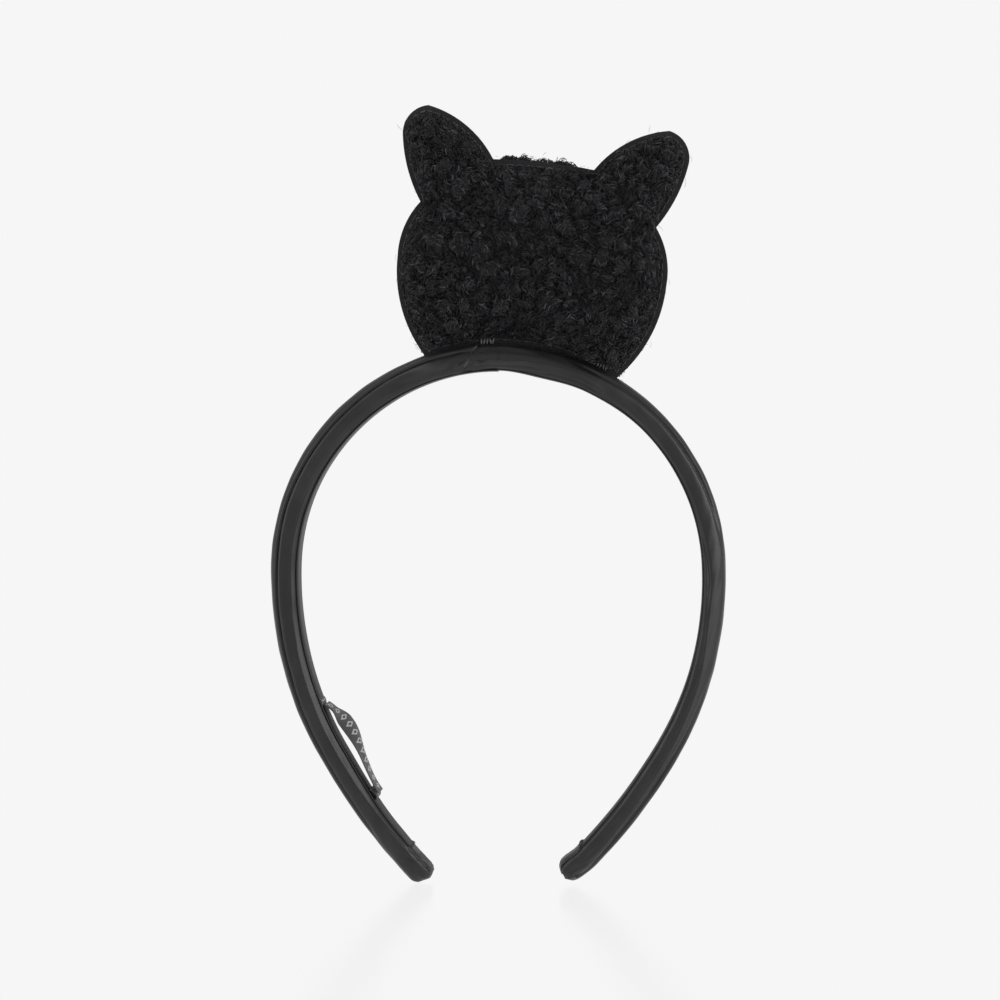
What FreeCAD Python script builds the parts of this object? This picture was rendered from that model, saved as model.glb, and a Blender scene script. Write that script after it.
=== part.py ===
"""Cat ears headband: a padded satin alice band with a boucle cat head sewn on top.

Frame: +Z up, the front of the head faces -Y, +X is to the right seen from the
front. The origin is where the top of a wearer's head meets the lining, in the
middle of the crown. Millimetres.
A "station" is an angle round the band, measured from the top of the crown.
"""
import FreeCAD, Part
import math
import os

import Sketcher

V = FreeCAD.Vector
Constraint = Sketcher.Constraint

doc = FreeCAD.newDocument("cat_ears_headband")

# ---------------------------------------------------------------- driving sizes
SIZES = {
    # centreline of the band: three tangent arcs down each side
    "crown_radius": 61.2,
    "side_radius": 99.5,
    "lower_radius": 175.2,
    "crown_turn": 87.5,
    "side_turn": 33.6,
    "lower_turn": 14.05,
    # how far below the origin the tips are pressed flat
    "ground_drop": 147.08,
    # the stations where the band is taken to flex, and half the cut there
    "flex_turn": 40.0,
    "flex_cut": 0.025,
    # section of the band: width, then inner and outer face from the centreline
    "lining_width": 9.6,
    "lining_low": -3.5,
    "lining_high": -3.0,
    "lining_round": 0.2,
    "cover_width": 12.0,
    "cover_low": -3.0,
    "cover_high": 3.5,
    "cover_edge": 1.0,
    "cover_crown": 3.2,
    "hollow_width": 10.4,
    "hollow_low": -2.2,
    "hollow_high": 2.7,
    "hollow_edge": 0.4,
    "hollow_crown": 2.4,
    "slot_width": 5.0,
    "core_width": 9.2,
    "core_low": -2.2,
    "core_high": -0.6,
    "core_round": 0.3,
    "foam_width": 10.3,
    "foam_low": -0.58,
    "foam_high": 2.68,
    "foam_edge": 0.3,
    "foam_crown": 2.4,
    # satin turned over the two tips
    "tip_width": 12.0,
    "tip_low": -4.0,
    "tip_high": 3.5,
    "tip_wall": 1.4,
    "flap_width": 11.0,
    "flap_low": -4.0,
    "flap_high": -3.52,
    "flap_length": 10.0,
    # cat head: heights are distances from the centre of the crown arc
    "head_lean": 6.4,
    "seat_radius": 65.3,
    "seat_half_width": 27.5,
    "cheek_half_width": 38.6,
    "cheek_height": 87.0,
    "notch_half_width": 33.8,
    "notch_height": 103.0,
    "ear_half_width": 41.0,
    "ear_side_height": 122.0,
    "ear_tip_half_width": 34.5,
    "ear_tip_height": 130.5,
    "ear_root_half_width": 14.5,
    "ear_root_height": 117.2,
    "lower_cheek_bend": 40.0,
    "upper_cheek_bend": 24.0,
    "ear_side_bend": 43.5,
    "ear_tip_bend": 8.0,
    "ear_top_bend": 30.0,
    "brow_bend": 150.0,
    "board_thick": 2.0,
    "rim_width": 2.2,
    "panel_depth": 7.2,
    "panel_round": 4.6,
    "wadding_inset": 2.4,
    "wadding_depth": 4.7,
    "wadding_round": 3.2,
    "thread_inset": 1.3,
    "thread_width": 0.5,
    "thread_thick": 0.4,
    # hand stitches that hold the head to the band
    "bartack_length": 2.9,
    "bartack_width": 0.9,
    "bartack_thick": 0.5,
    "bartack_height": 65.95,
    # sewn-in ribbon label on the inner side of the left arm
    "label_upper_turn": 111.9,
    "label_lower_turn": 126.0,
    "label_bend": 24.7,
    "label_half_turn": 28.8,
    "label_width": 10.0,
    "label_low": -0.3,
    "label_high": 0.3,
    "label_round": 0.1,
    "label_standoff": 1.9,
    "label_fold_length": 3.6,
    "label_fold_thick": 2.2,
    # thread of the tip stitches, and the air left under small sewn-on pieces
    "sewn_gap": 0.02,
    "stitch_length": 2.2,
    "stitch_radius": 0.25,
}

sheet = doc.addObject("Spreadsheet::Sheet", "Sizes")
for row, (name, value) in enumerate(SIZES.items(), start=1):
    sheet.set(f"A{row}", name)
    sheet.set(f"B{row}", str(value))
    sheet.setAlias(f"B{row}", name)
doc.recompute()


def size(name):
    """The value of one cell, for what can't be bound by an expression."""
    return float(sheet.get(name))


def bind(thing, path, expression):
    """Tie a size of an object to the sheet."""
    thing.setExpression(path, expression)


def hold(sketch, kind, first, first_end, second, second_end, value, expression):
    """Add a distance to a sketch and tie it to the sheet."""
    number = sketch.addConstraint(
        Constraint(kind, first, first_end, second, second_end, value)
    )
    bind(sketch, f"Constraints[{number}]", f"({expression}) * 1 mm")


def hold_radius(sketch, curve, value, expression):
    """Add a radius to a sketch and tie it to the sheet."""
    number = sketch.addConstraint(Constraint("Radius", curve, value))
    bind(sketch, f"Constraints[{number}]", f"({expression}) * 1 mm")


# ---------------------------------------------------------------- bodies and planes
ORIGIN_POINT = (-1, 1)
subparts = []


def new_body(label, place=None):
    """A body whose origin is the centre of the crown arc, unless placed elsewhere."""
    body = doc.addObject("PartDesign::Body", label)
    body.Label = label
    if place is None:
        bind(body, "Placement.Base.z", "-(Sizes.crown_radius + Sizes.lining_low)")
    else:
        body.Placement = place
    subparts.append(body)
    return body


def origin_plane(body, role):
    """One of the body's own origin planes or axes."""
    return next(item for item in body.Origin.OriginFeatures if item.Role == role)


def new_sketch(body, name, role, turn=0.0):
    """A sketch on an origin plane of the body, turned about the plane's own x axis."""
    sketch = body.newObject("Sketcher::SketchObject", name)
    sketch.AttachmentSupport = [(origin_plane(body, role), "")]
    sketch.MapMode = "FlatFace"
    sketch.AttachmentOffset = FreeCAD.Placement(V(), FreeCAD.Rotation(V(1, 0, 0), turn))
    return sketch


def section_sketch(body, name, width, low, high, low_round, high_round, radius, turn=0.0):
    """Rounded section of the band, drawn at the given radius from the body's axis."""
    sketch = new_sketch(body, name, "YZ_Plane", turn)
    half = size(width) / 2
    bottom = size(radius) + size(low)
    top = size(radius) + size(high)
    r_low = size(low_round)
    r_high = size(high_round)

    def corner(x, y, r, start):
        circle = Part.Circle(V(x, y, 0), V(0, 0, 1), r)
        return Part.ArcOfCircle(circle, math.radians(start), math.radians(start + 90))

    sketch.addGeometry(
        [
            Part.LineSegment(V(-half + r_low, bottom, 0), V(half - r_low, bottom, 0)),
            corner(half - r_low, bottom + r_low, r_low, -90),
            Part.LineSegment(V(half, bottom + r_low, 0), V(half, top - r_high, 0)),
            corner(half - r_high, top - r_high, r_high, 0),
            Part.LineSegment(V(half - r_high, top, 0), V(-half + r_high, top, 0)),
            corner(-half + r_high, top - r_high, r_high, 90),
            Part.LineSegment(V(-half, top - r_high, 0), V(-half, bottom + r_low, 0)),
            corner(-half + r_low, bottom + r_low, r_low, 180),
        ],
        False,
    )
    for edge in range(8):
        sketch.addConstraint(Constraint("Tangent", edge, 2, (edge + 1) % 8, 1))
    for edge, direction in ((0, "Horizontal"), (2, "Vertical"), (4, "Horizontal"), (6, "Vertical")):
        sketch.addConstraint(Constraint(direction, edge))
    sketch.addConstraint(Constraint("Equal", 1, 7))
    sketch.addConstraint(Constraint("Equal", 3, 5))
    hold_radius(sketch, 1, r_low, f"Sizes.{low_round}")
    hold_radius(sketch, 3, r_high, f"Sizes.{high_round}")
    hold(sketch, "DistanceX", *ORIGIN_POINT, 2, 1, half, f"Sizes.{width} / 2")
    hold(sketch, "DistanceX", 6, 1, 2, 2, 2 * half, f"Sizes.{width}")
    hold(sketch, "DistanceY", *ORIGIN_POINT, 0, 1, bottom, f"Sizes.{radius} + Sizes.{low}")
    hold(sketch, "DistanceY", *ORIGIN_POINT, 4, 1, top, f"Sizes.{radius} + Sizes.{high}")
    return sketch


def layer(name):
    """The cells that give one layer of the band its section."""
    low_round, high_round = {
        "lining": ("lining_round", "lining_round"),
        "cover": ("cover_edge", "cover_crown"),
        "hollow": ("hollow_edge", "hollow_crown"),
        "core": ("core_round", "core_round"),
        "foam": ("foam_edge", "foam_crown"),
    }[name]
    return f"{name}_width", f"{name}_low", f"{name}_high", low_round, high_round


# the slot on the inner face of the cover, where its two cut edges stop short of each other
SLOT = ("slot_width", "lining_low", "core_high", "lining_round", "lining_round")



def turned(body, sketch, angle, midplane=False, backwards=False, cut=False):
    """Turn a section about the body's Y axis, as a solid or as a cut."""
    kind = "PartDesign::Groove" if cut else "PartDesign::Revolution"
    feature = body.newObject(kind, f"{sketch.Name}_turned")
    feature.Profile = sketch
    feature.ReferenceAxis = (origin_plane(body, "Y_Axis"), [""])
    feature.Midplane = midplane
    feature.Reversed = backwards
    bind(feature, "Angle", f"({angle}) * 1 deg")
    return feature


# ---------------------------------------------------------------- the crown of the band
# The band's core is one strip. It is made in three lengths that meet at the
# flex stations, because a rigid model can only bend there.
CROWN_TURN = "2 * (Sizes.flex_turn - Sizes.flex_cut)"
BAND_LAYERS = ("lining", "core", "foam")


def crown_layer(name):
    """One layer of the band over the crown arc."""
    body = new_body(f"{name}_crown")
    sketch = section_sketch(body, f"{name}_crown_section", *layer(name), "crown_radius")
    turned(body, sketch, CROWN_TURN, midplane=True)
    return body


for layer_name in BAND_LAYERS:
    crown_layer(layer_name)

cover_crown = crown_layer("cover")
hollow = section_sketch(cover_crown, "hollow_crown_section", *layer("hollow"), "crown_radius")
turned(cover_crown, hollow, CROWN_TURN + " + 1", midplane=True, cut=True)
slot = section_sketch(cover_crown, "slot_crown_section", *SLOT, "crown_radius")
turned(cover_crown, slot, CROWN_TURN + " + 1", midplane=True, cut=True)


# ---------------------------------------------------------------- the arms of the band
def arm_spine(body):
    """The centreline from the flex station to the tip, as three tangent arcs."""
    spine = new_sketch(body, f"{body.Name}_spine", "XZ_Plane")
    turn = size("flex_turn") + size("flex_cut")
    stretches = (
        ("crown_radius", "Sizes.crown_turn - Sizes.flex_turn - Sizes.flex_cut",
         size("crown_turn") - turn),
        ("side_radius", "Sizes.side_turn", size("side_turn")),
        ("lower_radius", "Sizes.lower_turn", size("lower_turn")),
    )
    centre = V()
    for index, (radius_cell, _, span) in enumerate(stretches):
        radius = size(radius_cell)
        finish = math.radians(90 - turn - span)
        circle = Part.Circle(centre, V(0, 0, 1), radius)
        arc = Part.ArcOfCircle(circle, finish, math.radians(90 - turn))
        spine.addGeometry(arc, False)
        turn += span
        if index < 2:
            outward = V(math.cos(finish), math.sin(finish), 0)
            centre = centre + outward * (radius - size(stretches[index + 1][0]))
    spine.addConstraint(Constraint("Coincident", 0, 3, *ORIGIN_POINT))
    spine.addConstraint(Constraint("Tangent", 0, 1, 1, 2))
    spine.addConstraint(Constraint("Tangent", 1, 1, 2, 2))
    start = size("flex_turn") + size("flex_cut")
    across = size("crown_radius") * math.sin(math.radians(start))
    hold(
        spine, "DistanceX", *ORIGIN_POINT, 0, 2, across,
        "Sizes.crown_radius * sin((Sizes.flex_turn + Sizes.flex_cut) * 1 deg)",
    )
    for index, (radius_cell, span_cells, span) in enumerate(stretches):
        hold_radius(spine, index, size(radius_cell), f"Sizes.{radius_cell}")
        number = spine.addConstraint(Constraint("Angle", index, math.radians(span)))
        bind(spine, f"Constraints[{number}]", f"({span_cells}) * 1 deg")
    return spine


def swept(body, spine, cells, name, cut=False):
    """Sweep one section down the arm, as a solid or as a cut."""
    turn = size("flex_turn") + size("flex_cut")
    section = section_sketch(body, f"{name}_section", *cells, "crown_radius", turn)
    kind = "PartDesign::SubtractivePipe" if cut else "PartDesign::AdditivePipe"
    pipe = body.newObject(kind, f"{name}_swept")
    pipe.Profile = section
    pipe.Spine = (spine, ["Edge1", "Edge2", "Edge3"])
    return pipe


def mirrored(body, label):
    """The left hand copy of a right hand piece."""
    copy = doc.addObject("Part::Mirroring", label)
    copy.Label = label
    copy.Source = body
    copy.Normal = V(1, 0, 0)
    subparts.append(copy)
    return copy


def arm_layer(name):
    """One layer of the band down the right arm."""
    body = new_body(f"{name}_arm_right")
    spine = arm_spine(body)
    swept(body, spine, layer(name), f"{name}_arm")
    return body, spine


for layer_name in BAND_LAYERS:
    arm, _ = arm_layer(layer_name)
    mirrored(arm, f"{layer_name}_arm_left")

cover_arm, cover_line = arm_layer("cover")
doc.recompute()
swept(cover_arm, cover_line, layer("hollow"), "hollow_arm", cut=True)
swept(cover_arm, cover_line, SLOT, "slot_arm", cut=True)
mirrored(cover_arm, "cover_arm_left")


# ---------------------------------------------------------------- the tips
def arc_centre(index):
    """Centre of the crown, side or lower arc of the right arm, in the row's frame."""
    centre = V(0, 0, -size("crown_radius") - size("lining_low"))
    if index > 0:
        turn = math.radians(size("crown_turn"))
        shift = size("crown_radius") - size("side_radius")
        centre = centre + V(math.sin(turn), 0, math.cos(turn)) * shift
    if index > 1:
        turn = math.radians(size("crown_turn") + size("side_turn"))
        shift = size("side_radius") - size("lower_radius")
        centre = centre + V(math.sin(turn), 0, math.cos(turn)) * shift
    return centre


def turned_place(centre, turn):
    """Placement at a point with its Z axis turned clockwise, seen from the front."""
    return FreeCAD.Placement(centre, FreeCAD.Rotation(V(0, 1, 0), turn))


tip_turn = size("crown_turn") + size("side_turn") + size("lower_turn")
tip_body = new_body("tip_turned_under_right", turned_place(arc_centre(2), tip_turn))
subparts.remove(tip_body)
wall_section = section_sketch(
    tip_body, "tip_wall_section", "tip_width", "tip_low", "tip_high",
    "cover_edge", "cover_crown", "lower_radius",
)
turned(tip_body, wall_section, "Sizes.tip_wall / Sizes.lower_radius * 180 / pi")
flap_section = section_sketch(
    tip_body, "tip_flap_section", "flap_width", "flap_low", "flap_high",
    "lining_round", "lining_round", "lower_radius",
)
turned(
    tip_body, flap_section, "Sizes.flap_length / Sizes.lower_radius * 180 / pi", backwards=True
)

# the corner of each tip is pressed flat at one height, so that the band can be stood up
ground = doc.addObject("Part::Box", "ground")
bind(ground, "Length", "2 * Sizes.ground_drop * 1 mm")
bind(ground, "Width", "2 * Sizes.tip_width * 1 mm")
bind(ground, "Height", "Sizes.tip_width * 1 mm")
bind(ground, "Placement.Base.x", "-Sizes.ground_drop")
bind(ground, "Placement.Base.y", "-Sizes.tip_width")
bind(ground, "Placement.Base.z", "-(Sizes.ground_drop + Sizes.tip_width)")
tip_fold = doc.addObject("Part::Cut", "tip_fold_right")
tip_fold.Label = "tip_fold_right"
tip_fold.Base = tip_body
tip_fold.Tool = ground
subparts.append(tip_fold)
mirrored(tip_fold, "tip_fold_left")


# ---------------------------------------------------------------- the cat head
# Its outline is one arc on the band, then for each side a lower cheek, an upper
# cheek up to the notch under the ear, the ear's side, its tip and its top.
OUTLINE_POINTS = (
    ("seat_half_width", None),
    ("cheek_half_width", "cheek_height"),
    ("notch_half_width", "notch_height"),
    ("ear_half_width", "ear_side_height"),
    ("ear_tip_half_width", "ear_tip_height"),
    ("ear_root_half_width", "ear_root_height"),
)
OUTLINE_BENDS = (
    "lower_cheek_bend", "upper_cheek_bend", "ear_side_bend", "ear_tip_bend", "ear_top_bend",
)


def convex_arc(first, second, radius):
    """Arc from first to second, turning left, with the given radius."""
    chord = second - first
    drop = math.sqrt(radius**2 - (chord.Length / 2) ** 2)
    inward = V(-chord.y, chord.x, 0).normalize()
    centre = (first + second) * 0.5 + inward * drop
    start = math.atan2(first.y - centre.y, first.x - centre.x)
    finish = math.atan2(second.y - centre.y, second.x - centre.x)
    if finish < start:
        finish += 2 * math.pi
    return Part.ArcOfCircle(Part.Circle(centre, V(0, 0, 1), radius), start, finish)


def head_outline(body):
    """The closed outline of the cat head, seen from the front."""
    sketch = new_sketch(body, f"{body.Name}_outline", "XZ_Plane")
    seat = size("seat_radius")
    corner = math.acos(size("seat_half_width") / seat)
    base = Part.ArcOfCircle(Part.Circle(V(), V(0, 0, 1), seat), corner, math.pi - corner)
    sketch.addGeometry(base, False)
    right = [V(seat * math.cos(corner), seat * math.sin(corner), 0)]
    right += [V(size(across), size(up), 0) for across, up in OUTLINE_POINTS[1:]]
    left = [V(-point.x, point.y, 0) for point in reversed(right)]
    bends = OUTLINE_BENDS + ("brow_bend",) + tuple(reversed(OUTLINE_BENDS))
    points = right + left
    for first, second, bend in zip(points, points[1:], bends):
        sketch.addGeometry(convex_arc(first, second, size(bend)), False)

    last = len(bends)
    sketch.addConstraint(Constraint("Coincident", 0, 3, *ORIGIN_POINT))
    sketch.addConstraint(Constraint("Coincident", 0, 1, 1, 1))
    for curve in range(1, last):
        sketch.addConstraint(Constraint("Coincident", curve, 2, curve + 1, 1))
    sketch.addConstraint(Constraint("Coincident", last, 2, 0, 2))
    hold_radius(sketch, 0, seat, "Sizes.seat_radius")
    for curve, bend in enumerate(bends, start=1):
        hold_radius(sketch, curve, size(bend), f"Sizes.{bend}")
    half = size("seat_half_width")
    hold(sketch, "DistanceX", *ORIGIN_POINT, 0, 1, half, "Sizes.seat_half_width")
    hold(sketch, "DistanceX", 0, 2, *ORIGIN_POINT, half, "Sizes.seat_half_width")
    for index, (across, up) in enumerate(OUTLINE_POINTS[1:], start=1):
        on_right = (index, 2)
        on_left = (last + 1 - index, 1)
        hold(sketch, "DistanceX", *ORIGIN_POINT, *on_right, size(across), f"Sizes.{across}")
        hold(sketch, "DistanceX", *on_left, *ORIGIN_POINT, size(across), f"Sizes.{across}")
        for corner_point in (on_right, on_left):
            hold(sketch, "DistanceY", *ORIGIN_POINT, *corner_point, size(up), f"Sizes.{up}")
    return sketch


head_place = turned_place(arc_centre(0), size("head_lean"))
board = new_body("felt_board", head_place)
outline = head_outline(board)
pad = board.newObject("PartDesign::Pad", "felt_board_pad")
pad.Profile = outline
pad.Midplane = True
bind(pad, "Length", "Sizes.board_thick * 1 mm")

def inset_block(name, inset, depth):
    """A straight block with the head's outline moved inwards, on the board's front."""
    edge = doc.addObject("Part::Offset2D", f"{name}_edge")
    edge.Source = outline
    bind(edge, "Value", f"-({inset}) * 1 mm")
    block = doc.addObject("Part::Extrusion", f"{name}_block")
    block.Base = edge
    block.DirMode = "Custom"
    block.Dir = V(0, -1, 0)
    block.Solid = True
    bind(block, "LengthFwd", f"({depth}) * 1 mm")
    bind(block, "Placement.Base.y", "-Sizes.board_thick / 2")
    return block


def front_edges(shape):
    """Numbers of the edges round the front face of a block."""
    front = min(vertex.Y for vertex in shape.Vertexes)
    return [
        number for number, edge in enumerate(shape.Edges, start=1)
        if max(abs(vertex.Y - front) for vertex in edge.Vertexes) < 1e-6
    ]


def pillow(name, inset, depth, rounding):
    """A block whose front edge is rounded over, as stuffed cloth is."""
    block = inset_block(name, inset, depth)
    doc.recompute()
    soft = doc.addObject("Part::Fillet", f"{name}_pillow")
    soft.Base = block
    soft.Edges = [(number, size(rounding), size(rounding)) for number in front_edges(block.Shape)]
    return soft


def cut(name, base, tool):
    """One solid with another taken out of it."""
    result = doc.addObject("Part::Cut", name)
    result.Label = name
    result.Base = base
    result.Tool = tool
    return result


def front_and_back(piece, name):
    """Place a front piece of the head and add its twin behind the board."""
    piece.Label = f"{name}_front"
    piece.Placement = head_place
    twin = doc.addObject("Part::Mirroring", f"{name}_back")
    twin.Label = f"{name}_back"
    twin.Source = piece
    twin.Normal = V(0, 1, 0)
    subparts.extend((piece, twin))


PANEL_INSET = "Sizes.rim_width"
WADDING_INSET = "Sizes.rim_width + Sizes.wadding_inset"
wadding = pillow("wadding", WADDING_INSET, "Sizes.wadding_depth", "wadding_round")
wadding_room = pillow("wadding_room", WADDING_INSET, "Sizes.wadding_depth", "wadding_round")
panel = pillow("panel", PANEL_INSET, "Sizes.panel_depth", "panel_round")
front_and_back(cut("boucle_front", panel, wadding_room), "boucle_panel")
front_and_back(wadding, "wadding")

thread_outer = inset_block("thread", "Sizes.thread_inset", "Sizes.thread_thick")
thread_inner = inset_block(
    "thread_inside", "Sizes.thread_inset + Sizes.thread_width", "Sizes.thread_thick"
)
front_and_back(cut("thread_front", thread_outer, thread_inner), "topstitch")

# ---------------------------------------------------------------- hand stitches at the seat
# stations are measured from the head's own axis; the last value is the side
BARTACKS = ((-9.1, -1), (20.0, -1), (-15.0, 1), (15.0, 1))


def group(label, pieces):
    """Several separate solids in one node."""
    together = doc.addObject("Part::Compound", label)
    together.Label = label
    together.Links = pieces
    subparts.append(together)
    return together


bars = []
for index, (station, side) in enumerate(BARTACKS, start=1):
    bar = doc.addObject("Part::Box", f"bartack_{index}")
    bind(bar, "Length", "Sizes.bartack_length * 1 mm")
    bind(bar, "Width", "Sizes.bartack_thick * 1 mm")
    bind(bar, "Height", "Sizes.bartack_width * 1 mm")
    on_board = side * (size("board_thick") + size("bartack_thick")) / 2
    corner = V(
        -size("bartack_length") / 2,
        on_board - size("bartack_thick") / 2,
        size("bartack_height") - size("bartack_width") / 2,
    )
    around = turned_place(arc_centre(0), size("head_lean") + station)
    bar.Placement = around.multiply(FreeCAD.Placement(corner, FreeCAD.Rotation()))
    bars.append(bar)
group("head_bartacks", bars)


# ---------------------------------------------------------------- the tip stitches
stitches = []
for index, across in enumerate((-3.5, 0.0, 3.5), start=1):
    stitch = doc.addObject("Part::Cylinder", f"tip_stitch_{index}")
    bind(stitch, "Radius", "Sizes.stitch_radius * 1 mm")
    bind(stitch, "Height", "Sizes.stitch_length * 1 mm")
    flap_turn = math.degrees(size("flap_length") / size("lower_radius"))
    around = turned_place(arc_centre(2), tip_turn - flap_turn)
    start = V(
        -size("stitch_length") / 2,
        across,
        size("lower_radius") + size("flap_low") - size("stitch_radius") - size("sewn_gap"),
    )
    along_band = FreeCAD.Rotation(V(0, 1, 0), 90)
    stitch.Placement = around.multiply(FreeCAD.Placement(start, along_band))
    stitches.append(stitch)
stitch_group = group("tip_stitches_right", stitches)
mirrored(stitch_group, "tip_stitches_left")


# ---------------------------------------------------------------- the ribbon label
# It is worked out on the right arm and mirrored, because it is sewn to the left one.
def inner_point(index, turn):
    """Point on the inner face of the band at a station of one of its arcs."""
    radius = size(("crown_radius", "side_radius", "lower_radius")[index])
    reach = radius + size("lining_low")
    angle = math.radians(turn)
    return arc_centre(index) + V(math.sin(angle), 0, math.cos(angle)) * reach


upper_end = inner_point(1, size("label_upper_turn"))
lower_end = inner_point(2, size("label_lower_turn"))
chord = lower_end - upper_end
inward_turn = math.degrees(math.atan2(chord.z, -chord.x))
inward = V(math.sin(math.radians(inward_turn)), 0, math.cos(math.radians(inward_turn)))
end_drop = size("label_bend") * math.cos(math.radians(size("label_half_turn")))
swing_point = (upper_end + lower_end) * 0.5 + inward * size("label_standoff")

ribbon = new_body("ribbon_right", turned_place(swing_point - inward * end_drop, inward_turn))
subparts.remove(ribbon)
ribbon_section = section_sketch(
    ribbon, "ribbon_section", "label_width", "label_low", "label_high",
    "label_round", "label_round", "label_bend",
)
turned(ribbon, ribbon_section, "2 * Sizes.label_half_turn", midplane=True)
mirrored(ribbon, "label_ribbon")

LABEL_ENDS = ((1, "upper", "label_upper_turn"), (2, "lower", "label_lower_turn"))
for index, end_name, turn_cell in LABEL_ENDS:
    fold = doc.addObject("Part::Box", f"{end_name}_fold_right")
    bind(fold, "Length", "Sizes.label_fold_length * 1 mm")
    bind(fold, "Width", "Sizes.label_width * 1 mm")
    bind(fold, "Height", "Sizes.label_fold_thick * 1 mm")
    corner = V(-size("label_fold_length") / 2, -size("label_width") / 2, size("sewn_gap"))
    around = turned_place(inner_point(index, size(turn_cell)), size(turn_cell) - 180)
    fold.Placement = around.multiply(FreeCAD.Placement(corner, FreeCAD.Rotation()))
    mirrored(fold, f"label_fold_{end_name}")


# ---------------------------------------------------------------- check and write
doc.recompute()
for item in doc.Objects:
    if "Invalid" in item.State or "Error" in item.State:
        raise RuntimeError(f"{item.Label} failed: {item.State}")
os.makedirs("parts", exist_ok=True)
for piece in subparts:
    if piece.Shape.isNull() or not piece.Shape.isValid():
        raise RuntimeError(f"{piece.Label} has no valid shape")
    piece.Shape.exportStep(f"parts/{piece.Label}.step")
    print(f"{piece.Label}: {piece.Shape.Volume:.1f} mm3, {len(piece.Shape.Solids)} solid(s)")
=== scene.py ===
"""A padded satin alice band with a flat cat head in boucle pile sewn on its crown.

Metres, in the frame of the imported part: +Z is up, the head faces -Y and +X is to the right.
"""

import bisect
import math
import random

import bmesh
import bpy
from mathutils import Matrix, Vector, kdtree, noise


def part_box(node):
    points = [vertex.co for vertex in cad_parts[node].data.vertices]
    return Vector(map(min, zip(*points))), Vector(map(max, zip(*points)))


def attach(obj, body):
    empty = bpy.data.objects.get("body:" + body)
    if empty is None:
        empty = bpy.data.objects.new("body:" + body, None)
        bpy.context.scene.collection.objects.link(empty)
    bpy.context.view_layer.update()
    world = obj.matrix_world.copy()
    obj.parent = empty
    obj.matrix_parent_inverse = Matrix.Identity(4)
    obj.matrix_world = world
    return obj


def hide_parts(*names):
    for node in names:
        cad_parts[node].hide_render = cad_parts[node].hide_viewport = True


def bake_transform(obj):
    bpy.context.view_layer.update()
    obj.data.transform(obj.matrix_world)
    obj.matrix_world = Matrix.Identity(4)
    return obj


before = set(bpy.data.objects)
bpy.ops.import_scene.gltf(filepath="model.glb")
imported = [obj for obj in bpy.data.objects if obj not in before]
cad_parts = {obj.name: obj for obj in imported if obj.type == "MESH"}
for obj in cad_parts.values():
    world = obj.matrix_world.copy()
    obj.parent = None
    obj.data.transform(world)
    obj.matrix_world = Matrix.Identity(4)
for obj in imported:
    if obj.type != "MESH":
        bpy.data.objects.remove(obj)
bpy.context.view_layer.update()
MM = 0.001


# ------------------------------------------------------------------ springy core
# One flat strip of black polypropylene, cut from extruded stock and bent to the
# shape of a head. It is sealed inside the foam and satin, in three lengths that
# meet where the band is taken to flex.
def linear(hex_colour):
    """An sRGB hex colour as the linear colour that shaders take."""
    parts = [int(hex_colour[i:i + 2], 16) / 255 for i in (1, 3, 5)]
    return [c / 12.92 if c <= 0.04045 else ((c + 0.055) / 1.055) ** 2.4 for c in parts] + [1.0]


def add(tree, kind, links=(), **settings):
    """One node with its settings and its links, each a pair of input name and output socket."""
    node = tree.nodes.new(kind)
    for name, value in settings.items():
        if hasattr(node, name):
            setattr(node, name, value)
        else:
            key = int(name[1:]) if name[1:].isdigit() else name.replace("_", " ")
            node.inputs[key].default_value = value
    for socket, source in links:
        tree.links.new(source, node.inputs[socket])
    return node


def new_material(name, **sockets):
    """A material whose uniform values sit on its principled shader's own sockets."""
    material = bpy.data.materials.new(name)
    material.use_nodes = True
    shader = material.node_tree.nodes["Principled BSDF"]
    for socket, value in sockets.items():
        shader.inputs[socket.replace("_", " ")].default_value = value
    return material, material.node_tree, shader


def set_material(thing, material):
    thing.data.materials.clear()
    thing.data.materials.append(material)


# extruded polypropylene: waxy black with fine drag lines from the die
DRAG_LINE = 0.4 * MM
core_material, tree, shader = new_material(
    "extruded_black_polypropylene", Base_Color=linear("#1c1b1c"), Roughness=0.42, IOR=1.49
)
place = add(tree, "ShaderNodeTexCoord")
drag = add(
    tree, "ShaderNodeTexNoise", [("Vector", place.outputs["Object"])],
    Scale=1 / DRAG_LINE, Detail=3.0,
)
bump = add(
    tree, "ShaderNodeBump", [("Height", drag.outputs["Fac"])],
    Strength=0.2, Distance=0.05 * MM,
)
tree.links.new(bump.outputs["Normal"], shader.inputs["Normal"])
for node_name in ("core_crown", "core_arm_left", "core_arm_right"):
    set_material(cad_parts[node_name], core_material)


# ------------------------------------------------------------------ satin covers
# Bias-cut black polyester satin, pulled round a domed strip of foam to the inner
# face and glued there. The pull leaves long creases down both sides. Two lengths
# meet left of the middle, where the end of one is turned under in a slanting fold.
ARC_RADII = [61.2 * MM, 99.5 * MM, 175.2 * MM]
ARC_TURNS = [math.radians(a) for a in (87.5, 33.6, 14.05)]
CROWN_CENTRE = -57.7 * MM
HALF_LENGTH = sum(r * a for r, a in zip(ARC_RADII, ARC_TURNS))


def on_band(along, out, across):
    """The point at a length from the crown along the centreline, out from it and across in Y."""
    side = -1 if along < 0 else 1
    left = abs(along)
    centre_x = 0.0
    centre_z = CROWN_CENTRE
    turn = 0.0
    for index, (radius, span) in enumerate(zip(ARC_RADII, ARC_TURNS)):
        if left <= radius * span or index == 2:
            turn += left / radius
            break
        left -= radius * span
        turn += span
        shift = radius - ARC_RADII[index + 1]
        centre_x += math.sin(turn) * shift
        centre_z += math.cos(turn) * shift
    reach = radius + out
    x = centre_x + math.sin(turn) * reach
    return Vector((side * x, across, centre_z + math.cos(turn) * reach))


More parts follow.
